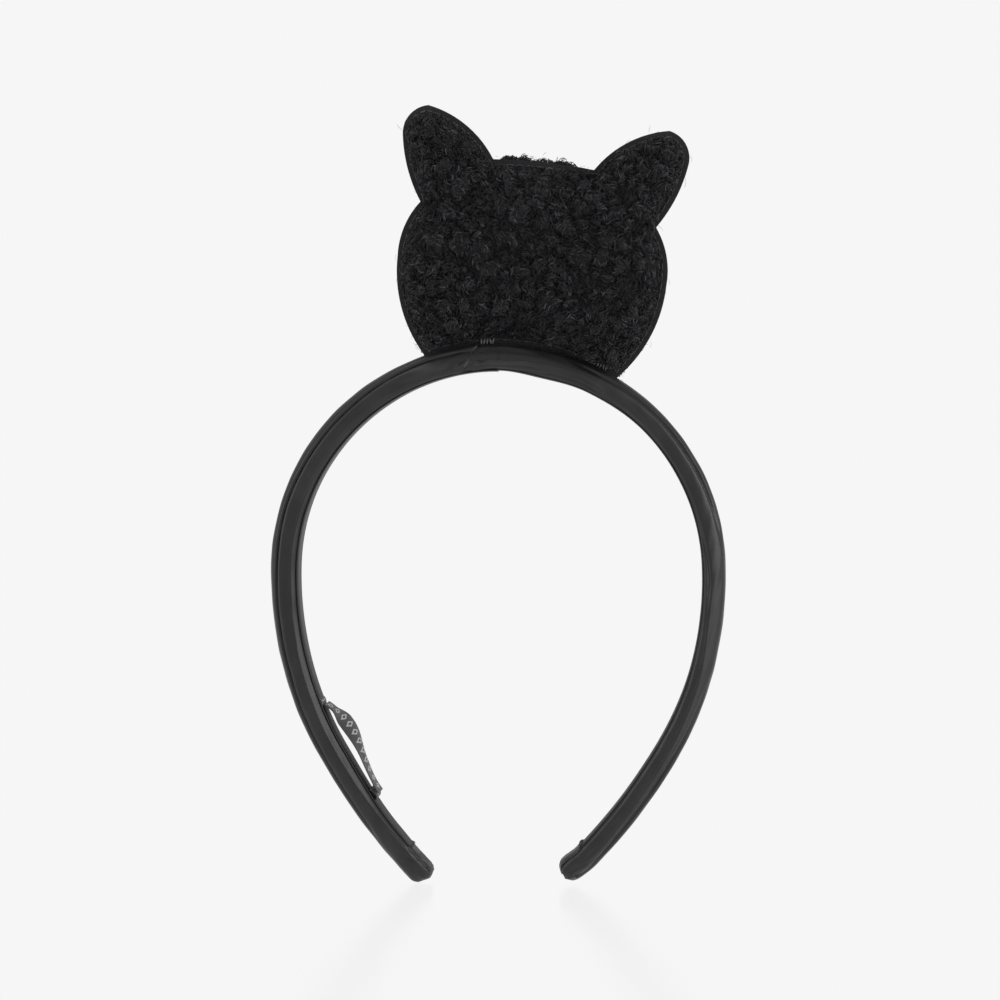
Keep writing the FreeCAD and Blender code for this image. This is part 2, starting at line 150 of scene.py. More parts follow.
def smooth(low, high, value):
    """0 below low, 1 above high, and an even slope between."""
    t = min(max((value - low) / (high - low), 0.0), 1.0)
    return t * t * (3 - 2 * t)


def run_through(points, value):
    """The height at a place, on a smooth line through a few (place, height) points."""
    for (x0, y0), (x1, y1) in zip(points, points[1:]):
        if value <= x1:
            return y0 + (y1 - y0) * smooth(x0, x1, value)
    return points[-1][1]


def finished(name, bm, material, body=None):
    """A smooth-shaded object at the origin from a bmesh."""
    bmesh.ops.recalc_face_normals(bm, faces=bm.faces)
    for face in bm.faces:
        face.smooth = True
    mesh = bpy.data.meshes.new(name)
    bm.to_mesh(mesh)
    bm.free()
    piece = bpy.data.objects.new(name, mesh)
    bpy.context.scene.collection.objects.link(piece)
    set_material(piece, material)
    if body:
        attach(piece, body)
    return piece


def cloth_strip(length, width, along_steps, across_steps):
    """A flat strip of cloth, its UV map in metres: U along it, V from one edge to the other."""
    bm = bmesh.new()
    bmesh.ops.create_grid(bm, x_segments=along_steps, y_segments=across_steps, size=0.5)
    cut = bm.loops.layers.uv.new("cut")
    for face in bm.faces:
        for loop in face.loops:
            x, y, _ = loop.vert.co
            loop[cut].uv = ((x + 0.5) * length, (y + 0.5) * width)
    return bm


def thicken(bm, thickness):
    bmesh.ops.recalc_face_normals(bm, faces=bm.faces)
    bmesh.ops.solidify(bm, geom=bm.faces[:], thickness=thickness)


BAND_HALF_WIDTH = 6.0 * MM
DOME = 3.5 * MM
UNDERSIDE = 3.02 * MM


def plain_section(angle, half_width, dome, underside):
    """A point of the domed section, out and across, for an angle round it from the dome."""
    out = math.cos(angle)
    across = math.sin(angle)
    squareness = 2.6 if out > 0 else 4.2
    height = dome if out > 0 else underside
    out_length = height * math.copysign(abs(out) ** (2 / squareness), out)
    across_length = -half_width * math.copysign(abs(across) ** (2 / squareness), across)
    return out_length, across_length


def even_angles(limit, count):
    """Angles from -limit to limit that share out the length round the section evenly."""
    fine = [limit * (2 * i / 3000 - 1) for i in range(3001)]
    walked = [0.0]
    last = plain_section(fine[0], BAND_HALF_WIDTH, DOME, UNDERSIDE)
    for angle in fine[1:]:
        here = plain_section(angle, BAND_HALF_WIDTH, DOME, UNDERSIDE)
        walked.append(walked[-1] + math.dist(here, last))
        last = here
    angles = [fine[min(bisect.bisect_left(walked, walked[-1] * i / count), 3000)]
              for i in range(count + 1)]
    return angles, walked[-1]


# creases down the sides: the line as (length from the crown, distance out) in mm, and its depth
CREASES = {
    1: (
        ([(4, -3.0), (20, -2.1), (50, -2.2), (78, -2.0), (97, -0.6), (110, -1.3)], 0.50),
        ([(24, 2.6), (60, 2.8), (88, 3.4)], 0.70),
        ([(130, 3.0), (160, 2.6), (194, 2.7)], 0.75),
    ),
    -1: (
        ([(10, 2.7), (45, 2.1), (110, 1.9), (150, 2.2), (178, 3.0)], 0.75),
    ),
}
# where each side face breaks into two flats, and how far each flat leans out and in
RIDGES = {
    1: [(12, -1.8), (50, -1.9), (78, -1.5), (97, -0.1), (110, -0.4), (130, 0.5), (192, 0.9)],
    -1: [(12, -2.1), (100, -2.0), (130, -1.4), (160, -1.1), (192, -1.6)],
}
LEANS = {
    1: ([(0, 0.7), (20, 0.5), (45, 0.12), (75, 0.22), (100, 0.42), (192, 0.6)],
        [(0, 0.1), (60, 0.1), (110, 0.04), (192, 0.0)]),
    -1: ([(0, 0.7), (22, 0.4), (36, 0.02), (192, 0.02)],
         [(0, 0.2), (60, 0.5), (192, 0.6)]),
}
# how much thicker the padding lies on the outer and inner face, at lengths from the crown
FULLNESS = {
    1: ([(0, 0.7), (30, 0.7), (80, 0.6), (120, 0.3), (160, 0.3), (190, 0.0)],
        [(0, 0.1), (14, 0.9), (28, 0.3), (50, -0.3), (120, -0.4), (160, 0.2), (190, 0.5)]),
    -1: ([(0, 0.7), (30, 0.7), (60, 0.8), (85, 0.5), (110, 0.2), (150, 0.1), (190, 0.7)],
         [(0, 0.1), (60, 0.5), (110, 0.8), (150, 0.6), (180, -0.6), (190, -0.9)]),
}
CREASE_WIDTH = 0.42
SWELL = 0.14
RIPPLE = 0.13
BEAD = 0.14


def full_section(side, length, angle):
    """The plain section, with the padding's own fullness at a length (mm) from the crown."""
    outer, inner = (run_through(line, length) * MM for line in FULLNESS[side])
    return plain_section(angle, BAND_HALF_WIDTH, DOME + outer, UNDERSIDE + inner)


def satin_section(side, along, angle):
    """Where the satin lies, out and across, with its flats, swells, ripples and creases."""
    length = abs(along) / MM
    out, across = full_section(side, length, angle)
    out_part = math.cos(angle)
    across_part = math.sin(angle)
    swell = noise.noise(Vector((along * 42, out_part * 0.9, side * 7.3 + across_part)))
    ripple = noise.noise(Vector((along * 170 + out * 420, out * 300, side * 3.1 + across_part)))
    lift = (SWELL * swell + RIPPLE * ripple) * MM
    if out_part > -0.5:
        out += lift * out_part
    across -= lift * across_part
    facing = abs(across_part) ** 2
    past = out / MM - run_through(RIDGES[side], length)
    lean_out, lean_in = (run_through(line, length) for line in LEANS[side])
    bead = BEAD * math.exp(-(past / 0.35) ** 2) * smooth(10, 30, length)
    back = lean_out * max(past, 0) + lean_in * max(-past, 0) - bead
    # the cloth puckers more towards the tip, and the left one has a small pleat there
    left = HALF_LENGTH / MM - length
    pucker = noise.noise(Vector((length * 0.42, out * 620, 5.5 * side)))
    back += 0.45 * pucker * (1 - smooth(5, 17, left))
    # and it is pulled into a few slanting folds beside the seam
    beside = abs(along / MM - SEAM_AT / MM - out / MM * 0.7)
    back -= SEAM_RUCK * math.cos(beside * 1.1) * math.exp(-(beside / 6) ** 2) * facing
    if side == -1:
        pleat = math.hypot((left - 6.5) / 3.2, (out / MM + 1.2) / 1.1)
        back -= 0.35 * math.exp(-((pleat - 1) / 0.28) ** 2)
    across += math.copysign(back * MM * facing, -across)
    for line, depth in CREASES[side]:
        wander = 0.28 * noise.noise(Vector((length * 0.06, depth * 9, side)))
        away = (out / MM - run_through(line, length) - wander) / CREASE_WIDTH
        groove = math.exp(-away * away)
        # the cloth on the outer side of a crease rolls over it
        roll = 0.2 * math.exp(-((away - 1.9) / 1.0) ** 2)
        fade = smooth(line[0][0] - 4, line[0][0] + 10, length)
        fade *= 1 - smooth(line[-1][0] - 12, line[-1][0] + 4, length)
        cut = (groove - roll) * depth * MM * fade
        out -= cut * max(out_part, 0)
        across += math.copysign(cut * abs(across_part), -across)
    return out, across


SEAM_AT = -8.0 * MM
SEAM_SLANT = 2.4 * MM
UNDERLAP = 4.0 * MM
OPEN_EDGE = math.radians(168)
SATIN_THICK = 0.22 * MM
STEP_ALONG = 0.9 * MM
GIRTH_STEPS = 144
SEAM_RUCK = 0.3
# how far from the end each tip starts to close, and how square it stays
TIP_CLOSING = {-1: (4.0 * MM, 2.6), 1: (4.2 * MM, 2.2)}
angles, girth = even_angles(OPEN_EDGE, GIRTH_STEPS)


def close_tip(side, left, out, across):
    """The section drawn in towards the tip, left being the length still to go."""
    closing, squareness = TIP_CLOSING[side]
    # the right tip curls a little inwards
    if side == 1:
        out -= 1.1 * MM * (1 - smooth(0, 9 * MM, left))
    if left >= closing:
        return out, across
    gone = min(1 - left / closing, 0.998)
    keep = (1 - gone ** squareness) ** (1 / squareness)
    # gathers that run into the closed end
    gather = 0.35 * MM * gone * math.sin(9 * math.atan2(out, across) + side) * keep
    size = max(math.hypot(out, across), 0.1 * MM)
    return out * keep + gather * out / size, across * (0.45 + 0.55 * keep) + gather * across / size


def satin_cover(name, side, material):
    """One length of satin, from the slanting fold to where it closes over the tip."""
    start = SEAM_AT * side - (UNDERLAP if side == 1 else 0)
    length = HALF_LENGTH + 1.2 * MM - start
    bm = cloth_strip(length, girth, round(length / STEP_ALONG), GIRTH_STEPS)
    for vert in bm.verts:
        travelled = (vert.co.x + 0.5) * length
        angle = angles[round((vert.co.y + 0.5) * GIRTH_STEPS)]
        # the two edges come together under the folded end
        angle *= 1 + (math.pi / OPEN_EDGE - 1) * (1 - smooth(3 * MM, 8 * MM, length - travelled))
        along = side * (start + travelled)
        out, across = satin_section(side, along, angle)
        out, across = close_tip(side, length - travelled, out, across)
        # the left tip is cut on a slant, longer on its inner side
        if side == -1:
            along += 0.2 * out * (1 - smooth(0, 5 * MM, length - travelled))
        # at the crown the left end is turned under, so it lies double over the right one
        if side == -1:
            rise = 0.05 * MM * (1 - smooth(0, 14 * MM, travelled)) * smooth(0, 0.9 * MM, travelled)
            along += SEAM_SLANT * out / DOME * (1 - smooth(0, 24 * MM, travelled))
        else:
            rise = -0.26 * MM * (1 - smooth(UNDERLAP - 0.8 * MM, UNDERLAP + 1.5 * MM, travelled))
        out += rise * math.cos(angle)
        across -= rise * math.sin(angle)
        vert.co = on_band(along, out, across)
    thicken(bm, SATIN_THICK)
    return finished(name, bm, material)


# polyester charmeuse: a soft sheen along the floats, near black between the highlights.
# The real floats are about 0.1 mm wide and are drawn three times as coarse so they show.
FLOAT_WIDTH = 0.3 * MM
SHADE_PATCH = 9 * MM
satin_material, tree, shader = new_material(
    "black_polyester_satin", Roughness=0.42, IOR=1.5, Sheen_Weight=0.05,
    Sheen_Roughness=0.35, Anisotropic=0.5, Specular_IOR_Level=0.32,
)
shader.inputs["Sheen Tint"].default_value = linear("#c9c7d2")
cloth_place = add(tree, "ShaderNodeUVMap", uv_map="cut")
turned = add(
    tree, "ShaderNodeMapping", [("Vector", cloth_place.outputs["UV"])],
    Rotation=(0, 0, math.radians(45)),
)
stretched = add(
    tree, "ShaderNodeMapping", [("Vector", turned.outputs["Vector"])], Scale=(0.14, 1, 1)
)
floats = add(
    tree, "ShaderNodeTexNoise", [("Vector", stretched.outputs["Vector"])],
    Scale=1 / FLOAT_WIDTH, Detail=2.0,
)
patches = add(
    tree, "ShaderNodeTexNoise", [("Vector", cloth_place.outputs["UV"])],
    Scale=1 / SHADE_PATCH, Detail=3.0,
)
shades = add(tree, "ShaderNodeValToRGB", [("Fac", patches.outputs["Fac"])])
shades.color_ramp.elements[0].position = 0.3
shades.color_ramp.elements[0].color = linear("#1c1a1b")
shades.color_ramp.elements[1].position = 0.7
shades.color_ramp.elements[1].color = linear("#252324")
tree.links.new(shades.outputs["Color"], shader.inputs["Base Color"])
dull = add(
    tree, "ShaderNodeMapRange", [("Value", floats.outputs["Fac"])], To_Min=0.36, To_Max=0.52
)
tree.links.new(dull.outputs["Result"], shader.inputs["Roughness"])
bump = add(
    tree, "ShaderNodeBump", [("Height", floats.outputs["Fac"])], Strength=0.16, Distance=0.04 * MM
)
tree.links.new(bump.outputs["Normal"], shader.inputs["Normal"])
lengthwise = add(tree, "ShaderNodeTangent", direction_type="UV_MAP", uv_map="cut")
tree.links.new(lengthwise.outputs["Tangent"], shader.inputs["Tangent"])

FLEX_FROM = math.radians(33) * ARC_RADII[0]
FLEX_TO = math.radians(49) * ARC_RADII[0]


def bend_with_band(piece, side, out):
    """Bake the piece's transform into its mesh; its shape already follows the crown and the arm."""
    start = on_band(side * FLEX_FROM, out, 0)
    tuple(on_band(side * FLEX_TO, out, 0))
    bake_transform(piece)


satin_left = satin_cover("satin_cover_left", -1, satin_material)
satin_right = satin_cover("satin_cover_right", 1, satin_material)
for piece, side in ((satin_left, -1), (satin_right, 1)):
    bend_with_band(piece, side, 0)
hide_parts("cover_arm_left")
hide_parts("cover_arm_right", "cover_crown")


# ------------------------------------------------------------------ foam strips
# Black polyurethane foam, 3 mm thick and shaved to a dome, glued along the outer
# face of the core. The satin holds it tight, so it shows only as the band's round.
foam_material, tree, shader = new_material(
    "black_polyurethane_foam", Base_Color=linear("#232224"), Roughness=0.95, IOR=1.45
)
FOAM_CELL = 0.5 * MM
place = add(tree, "ShaderNodeTexCoord")
cells = add(
    tree, "ShaderNodeTexVoronoi", [("Vector", place.outputs["Object"])], Scale=1 / FOAM_CELL
)
bump = add(
    tree, "ShaderNodeBump", [("Height", cells.outputs["Distance"])],
    Strength=0.6, Distance=0.2 * MM,
)
tree.links.new(bump.outputs["Normal"], shader.inputs["Normal"])


def foam_strip(name, side):
    """A closed domed strip from the middle of the crown to just short of the tip."""
    length = HALF_LENGTH - 1.5 * MM
    bm = bmesh.new()
    ring = bmesh.ops.create_circle(
        bm, segments=40, radius=1, matrix=Matrix.Rotation(math.pi / 2, 4, "Y")
    )["verts"]
    bmesh.ops.contextual_create(bm, geom=ring)
    steps = round(length / (2 * MM))
    caps = bm.faces[:]
    for _ in range(steps):
        made = bmesh.ops.extrude_face_region(bm, geom=caps)["geom"]
        caps = [item for item in made if isinstance(item, bmesh.types.BMFace)]
        moved = [item for item in made if isinstance(item, bmesh.types.BMVert)]
        bmesh.ops.translate(bm, verts=moved, vec=(length / steps, 0, 0))
    for vert in bm.verts:
        angle = math.atan2(-vert.co.y, vert.co.z)
        out, across = plain_section(angle, 5.0 * MM, 2.55 * MM, 0.5 * MM)
        vert.co = on_band(side * vert.co.x, out, across)
    piece = finished(name, bm, foam_material)
    bend_with_band(piece, side, 0)
    return piece


foam_left = foam_strip("foam_strip_left", -1)
foam_right = foam_strip("foam_strip_right", 1)
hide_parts("foam_arm_left")
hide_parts("foam_arm_right", "foam_crown")


# ------------------------------------------------------------------ lining ribbon
# Black polyester satin ribbon, 10 mm wide, glued along the inner face over the raw
# edges of the cover. It comes in two lengths that meet at the middle of the crown.
LINING_WIDTH = 9.6 * MM
LINING_THICK = 0.25 * MM
lining_material, tree, shader = new_material(
    "black_satin_ribbon", Base_Color=linear("#1a191b"), Roughness=0.46, IOR=1.5,
    Sheen_Weight=0.02, Sheen_Roughness=0.4, Specular_IOR_Level=0.25,
)
cloth_place = add(tree, "ShaderNodeUVMap", uv_map="cut")
RIB_PITCH = 0.35 * MM
ribs = add(
    tree, "ShaderNodeTexWave", [("Vector", cloth_place.outputs["UV"])],
    bands_direction="Y", Scale=1 / RIB_PITCH / 6.28, Distortion=0.6, Detail=1.0,
)
bump = add(
    tree, "ShaderNodeBump", [("Height", ribs.outputs["Fac"])], Strength=0.25, Distance=0.05 * MM
)
tree.links.new(bump.outputs["Normal"], shader.inputs["Normal"])


def lining(name, side):
    length = HALF_LENGTH - 1.0 * MM
    bm = cloth_strip(length, LINING_WIDTH, round(length / (1.2 * MM)), 16)
    for vert in bm.verts:
        along = side * (vert.co.x + 0.5) * length
        across = vert.co.y * LINING_WIDTH
        edge = abs(vert.co.y) * 2
        wave = noise.noise(Vector((along * 90, vert.co.y * 2, 4.0 + side)))
        under = UNDERSIDE + run_through(FULLNESS[side][1], abs(along) / MM) * MM
        under *= (1 - abs(across / BAND_HALF_WIDTH) ** 4.2) ** (1 / 4.2)
        out = -under - (0.20 + 0.06 * wave * (1 - edge)) * MM
        vert.co = on_band(along, out, across)
    thicken(bm, LINING_THICK)
    piece = finished(name, bm, lining_material)
    bend_with_band(piece, side, 0)
    return piece


lining_left = lining("lining_ribbon_left", -1)
lining_right = lining("lining_ribbon_right", 1)
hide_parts("lining_arm_left")
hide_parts("lining_arm_right", "lining_crown")


# ------------------------------------------------------------------ tips
# The spare end of the satin, folded over each tip and caught down on the inner
# face with a few hand stitches. The left one is folded square, the right gathered.
FLAP_LENGTH = 10.0 * MM
FLAP_REACH = math.radians(46)


def tip_flap(name, side, body):
    """The folded end, lying on the inner face and round its two edges."""
    width = 2 * BAND_HALF_WIDTH
    bm = cloth_strip(FLAP_LENGTH, width, 30, 40)
    for vert in bm.verts:
        up = (vert.co.x + 0.5) * FLAP_LENGTH
        part = vert.co.y * 2
        angle = math.pi + part * FLAP_REACH
        left = FLAP_LENGTH - up
        along = HALF_LENGTH + 0.9 * MM - left
        out, across = full_section(side, along / MM, angle)
        out, across = close_tip(side, max(left + 0.2 * MM, 0.3 * MM), out, across)
        # the fold is soft: thick at its cut edge and puckered towards the tip
        pucker = noise.noise(Vector((part * 2.2, up * 260, side * 5.0)))
        roll = math.exp(-((up - 1.1 * MM) / (0.7 * MM)) ** 2)
        lift = (0.42 + 0.16 * pucker * smooth(0, 3 * MM, up) + 0.06 * roll) * MM
        lift *= 1 - 0.55 * smooth(0.8, 1.0, abs(part))
        slip = 0.8 * MM * part * part * side
        out += lift * math.cos(angle)
        across -= lift * math.sin(angle)
        vert.co = on_band(side * (along + slip * (1 - up / FLAP_LENGTH)), out, across)
    thicken(bm, 0.3 * MM)
    return finished(name, bm, satin_material, body)


flap_left = tip_flap("tip_fold_left_cloth", -1, "arm_left")
flap_right = tip_flap("tip_fold_right_cloth", 1, "arm_right")
for flap, node_name, side_name in ((flap_left, "tip_fold_left", "left"),
                                   (flap_right, "tip_fold_right", "right")):
    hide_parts(node_name)

# black polyester sewing thread: two plies with a slight twist, matt
thread_material, tree, shader = new_material(
    "black_sewing_thread", Base_Color=linear("#1b1a1c"), Roughness=0.6, IOR=1.5,
    Sheen_Weight=0.2,
)
place = add(tree, "ShaderNodeTexCoord")
PLY = 0.25 * MM
plies = add(
    tree, "ShaderNodeTexWave", [("Vector", place.outputs["Object"])],
    bands_direction="DIAGONAL", Scale=1 / PLY / 6.28,
)
bump = add(
    tree, "ShaderNodeBump", [("Height", plies.outputs["Fac"])], Strength=0.5, Distance=0.05 * MM
)
tree.links.new(bump.outputs["Normal"], shader.inputs["Normal"])
THREAD = 0.3 * MM


def add_stitch(bm, start, end, lift, thickness=THREAD):
    """One stitch: a plump length of thread that dives into the cloth at both ends."""
    made = bmesh.ops.create_uvsphere(bm, u_segments=6, v_segments=7, radius=1)["verts"]
    run = (end - start) / 2
    across = run.normalized()
    up = (lift - across * lift.dot(across)).normalized()
    basis = Matrix((up, across.cross(up), across)).transposed()
    for vert in made:
        t = vert.co.z
        swell = Vector((vert.co.x, vert.co.y, 0)) * thickness / 2
        swell.z = t * run.length
        swell.x += (1 - t * t) * lift.length
        vert.co = (start + end) / 2 + basis @ swell


rng = random.Random(11)
for side, side_name, body in ((-1, "left", "arm_left"), (1, "right", "arm_right")):
    bm = bmesh.new()
    for index in range(7):
        across = (index - 3) * 1.35 * MM + rng.uniform(-0.2, 0.2) * MM
        top = HALF_LENGTH + 0.9 * MM - FLAP_LENGTH
        under = UNDERSIDE + run_through(FULLNESS[side][1], top / MM) * MM
        start = on_band(side * (top - 0.8 * MM), -under - 0.2 * MM, across)
        slant = rng.uniform(0.2, 0.7) * MM
        end = on_band(side * (top + 0.7 * MM), -under - 0.6 * MM, across + slant)
        inward = on_band(side * top, -1 * MM, 0) - on_band(side * top, 0, 0)
        add_stitch(bm, start, end, inward.normalized() * 0.08 * MM)
    piece = finished(f"tip_stitches_{side_name}_thread", bm, thread_material, body)
    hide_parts(f"tip_stitches_{side_name}")


# ------------------------------------------------------------------ ribbon label
# A black woven ribbon label, folded to a standing loop and sewn in along the left
# arm's inner edge at two small folds. A plain row of diamonds is woven on it.
LABEL_WIDTH = 10 * MM
LABEL_PATH = [Vector((-49.6, 0, -95.8)), Vector((-40.5, 0, -99.4)),
              Vector((-39.0, 0, -113.2)), Vector((-34.0, 0, -121.0))]
LABEL_TWIST = 15
DIAMOND_PITCH = 2.7 * MM
RIBBON_THICK = 0.28 * MM


def label_line(t):
    """A point and the direction on the label's middle line, from its upper to its lower end."""
    a, b, c, d = (point * MM for point in LABEL_PATH)
    u = 1 - t
    point = a * u ** 3 + b * 3 * u * u * t + c * 3 * u * t * t + d * t ** 3
    way = (b - a) * 3 * u * u + (c - b) * 6 * u * t + (d - c) * 3 * t * t
    return point, way.normalized()


label_length = sum((label_line(i / 60)[0] - label_line((i + 1) / 60)[0]).length for i in range(60))
bm = cloth_strip(label_length, LABEL_WIDTH, 60, 24)
for vert in bm.verts:
    t = vert.co.x + 0.5
    point, way = label_line(t)
    twist = math.radians(LABEL_TWIST) * (1 - smooth(0.3, 0.66, t)) * smooth(0.08, 0.26, t)
    sideways = Matrix.Rotation(twist, 3, way) @ Vector((0, 1, 0))
    crinkle = noise.noise(Vector((t * 3.1, vert.co.y * 2.2, 8.8)))
    cup = 0.5 * MM * (vert.co.y * 2) ** 2 * math.sin(math.pi * t)
    vert.co = point + sideways * vert.co.y * LABEL_WIDTH
    vert.co += way.cross(sideways) * (0.45 * MM * crinkle - cup)
thicken(bm, RIBBON_THICK)

# damask-woven polyester: a fine cross rib, with the figure in paler floats
label_material, tree, shader = new_material(
    "woven_label_ribbon", Roughness=0.55, IOR=1.5, Sheen_Weight=0.15
)
cloth_place = add(tree, "ShaderNodeUVMap", uv_map="cut")
parts = add(tree, "ShaderNodeSeparateXYZ", [("Vector", cloth_place.outputs["UV"])])
repeat = add(
    tree, "ShaderNodeMath", [("Value", parts.outputs["X"])],
    operation="MULTIPLY", _1=1 / DIAMOND_PITCH,
)
cell = add(tree, "ShaderNodeMath", [("Value", repeat.outputs["Value"])], operation="FRACT")
from_middle = add(
    tree, "ShaderNodeMath", [("Value", cell.outputs["Value"])], operation="SUBTRACT", _1=0.5
)
up_part = add(
    tree, "ShaderNodeMath", [("Value", from_middle.outputs["Value"])], operation="ABSOLUTE"
)
off_line = add(
    tree, "ShaderNodeMath", [("Value", parts.outputs["Y"])],
    operation="SUBTRACT", _1=LABEL_WIDTH / 2,
)
across_part = add(
    tree, "ShaderNodeMath", [("Value", off_line.outputs["Value"])], operation="ABSOLUTE"
)
scaled = add(
    tree, "ShaderNodeMath", [("Value", across_part.outputs["Value"])],
    operation="MULTIPLY", _1=1 / (9 * MM),
)
together = add(
    tree, "ShaderNodeMath",
    [(0, up_part.outputs["Value"]), (1, scaled.outputs["Value"])], operation="ADD",
)
figure = add(
    tree, "ShaderNodeMapRange", [("Value", together.outputs["Value"])],
    From_Min=0.36, From_Max=0.33, To_Min=0.0, To_Max=1.0,
)
hollow = add(
    tree, "ShaderNodeMapRange", [("Value", together.outputs["Value"])],
    From_Min=0.15, From_Max=0.18, To_Min=0.0, To_Max=1.0,
)
both = add(
    tree, "ShaderNodeMath",
    [(0, figure.outputs["Result"]), (1, hollow.outputs["Result"])], operation="MULTIPLY",
)
colour = add(
    tree, "ShaderNodeMix", [("Factor", both.outputs["Value"])], data_type="RGBA",
    _6=linear("#1b1a1c"), _7=linear("#908d93"),
)
tree.links.new(colour.outputs[2], shader.inputs["Base Color"])
RIB = 0.3 * MM
ribs = add(
    tree, "ShaderNodeTexWave", [("Vector", cloth_place.outputs["UV"])],
    bands_direction="X", Scale=1 / RIB / 6.28, Distortion=0.4,
)
bump = add(
    tree, "ShaderNodeBump", [("Height", ribs.outputs["Fac"])], Strength=0.4, Distance=0.05 * MM
)
tree.links.new(bump.outputs["Normal"], shader.inputs["Normal"])
label = finished("label_ribbon_loop", bm, label_material, "label")
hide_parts("label_ribbon")

# the two folded ends, pressed flat and caught with thread
for end_name, at, turn in (("upper", 0.0, 1), ("lower", 1.0, -1)):
    low, high = (Vector(corner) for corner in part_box(f"label_fold_{end_name}"))
    middle = (low + high) / 2
    steps = min(range(100, 200),
                key=lambda step: (on_band(-step * MM, -3.6 * MM, 0) - middle).length)
    along = steps * MM
    bm = cloth_strip(6.4 * MM, 9.6 * MM, 22, 14)
    for vert in bm.verts:
        turn_at = (vert.co.x + 0.5) * math.pi
        slide = math.cos(turn_at) * 1.5 * MM
        lift = 0.2 * MM + (0.55 - 0.25 * math.cos(turn_at)) * MM * math.sin(turn_at)
        ruck = 0.06 * MM * noise.noise(Vector((vert.co.x * 3, vert.co.y * 4, at)))
        vert.co = on_band(-(along + turn * slide), -3.35 * MM - lift - ruck, vert.co.y * 9.6 * MM)
    thicken(bm, RIBBON_THICK)
    fold = finished(f"label_end_{end_name}", bm, label_material, "arm_left")
    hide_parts(f"label_fold_{end_name}")


# ------------------------------------------------------------------ felt board
# Stiff black needle felt, 2 mm thick, cut to the outline of a cat's head. It holds
# the head flat, and its edge shows as a smooth rim all round the two pile panels.
LEAN = math.radians(6.4)
OUTLINE = [(27.5, 59.227), (38.6, 87), (33.8, 103), (41, 122), (34.5, 130.5), (14.5, 117.2)]
BENDS = [40, 24, 43.5, 8, 30]
SEAT_RADIUS = 65.3
BROW_BEND = 150


def on_head(across, up, depth):
    """A point of the head, across and up from the crown's centre along its own lean."""
    x = across * math.cos(LEAN) + up * math.sin(LEAN)
    z = CROWN_CENTRE / MM - across * math.sin(LEAN) + up * math.cos(LEAN)
    return Vector((x, depth, z)) * MM


def arc_between(first, second, radius, step):
    """Points on an arc that turns left from first to second."""
    chord = second - first
    drop = math.sqrt(radius ** 2 - (chord.length / 2) ** 2)
    centre = (first + second) / 2 + Vector((-chord.y, chord.x)).normalized() * drop
    begin = math.atan2(first.y - centre.y, first.x - centre.x)
    finish = math.atan2(second.y - centre.y, second.x - centre.x)
    turn = (finish - begin) % (2 * math.pi)
    count = max(2, round(radius * turn / step))
    return [centre + radius * Vector((math.cos(begin + turn * i / count),
                                      math.sin(begin + turn * i / count)))
            for i in range(count)]


def head_outline(step):
    """The outline of the head as (across, up) points, once round from the right foot."""
    right = [Vector(point) for point in OUTLINE]
    corners = right + [Vector((-point.x, point.y)) for point in reversed(right)]
    bends = BENDS + [BROW_BEND] + BENDS[::-1]
    points = []
    for first, second, bend in zip(corners, corners[1:], bends):
        points += arc_between(first, second, bend, step)
    base = arc_between(corners[0], corners[-1], SEAT_RADIUS, step)
    return points + [corners[-1]] + base[:0:-1]


felt_material, tree, shader = new_material(
    "black_needle_felt", Roughness=0.92, IOR=1.45, Sheen_Weight=0.35, Sheen_Roughness=0.6,
    Specular_IOR_Level=0.25,
)
shader.inputs["Sheen Tint"].default_value = linear("#8f8c90")
place = add(tree, "ShaderNodeTexCoord")
FELT_FIBRE = 0.35 * MM
fibres = add(
    tree, "ShaderNodeTexNoise", [("Vector", place.outputs["Object"])],
    Scale=1 / FELT_FIBRE, Detail=5.0, Distortion=1.2,
)
shades = add(tree, "ShaderNodeValToRGB", [("Fac", fibres.outputs["Fac"])])
shades.color_ramp.elements[0].position = 0.35
shades.color_ramp.elements[0].color = linear("#151415")
shades.color_ramp.elements[1].position = 0.75
shades.color_ramp.elements[1].color = linear("#2b292b")
tree.links.new(shades.outputs["Color"], shader.inputs["Base Color"])
bump = add(
    tree, "ShaderNodeBump", [("Height", fibres.outputs["Fac"])], Strength=0.5, Distance=0.15 * MM
)
tree.links.new(bump.outputs["Normal"], shader.inputs["Normal"])
set_material(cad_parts["felt_board"], felt_material)


# ------------------------------------------------------------------ wadding
# White polyester fibre that plumps each pile panel, shut between panel and board.
wadding_material, tree, shader = new_material(
    "polyester_wadding", Base_Color=linear("#3a393b"), Roughness=1.0, IOR=1.4
)
place = add(tree, "ShaderNodeTexCoord")
tufts = add(
    tree, "ShaderNodeTexNoise", [("Vector", place.outputs["Object"])],
    Scale=1 / (1.5 * MM), Detail=6.0,
)
bump = add(
    tree, "ShaderNodeBump", [("Height", tufts.outputs["Fac"])], Strength=0.8, Distance=0.4 * MM
)
tree.links.new(bump.outputs["Normal"], shader.inputs["Normal"])
for node_name in ("wadding_front", "wadding_back"):
    set_material(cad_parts[node_name], wadding_material)


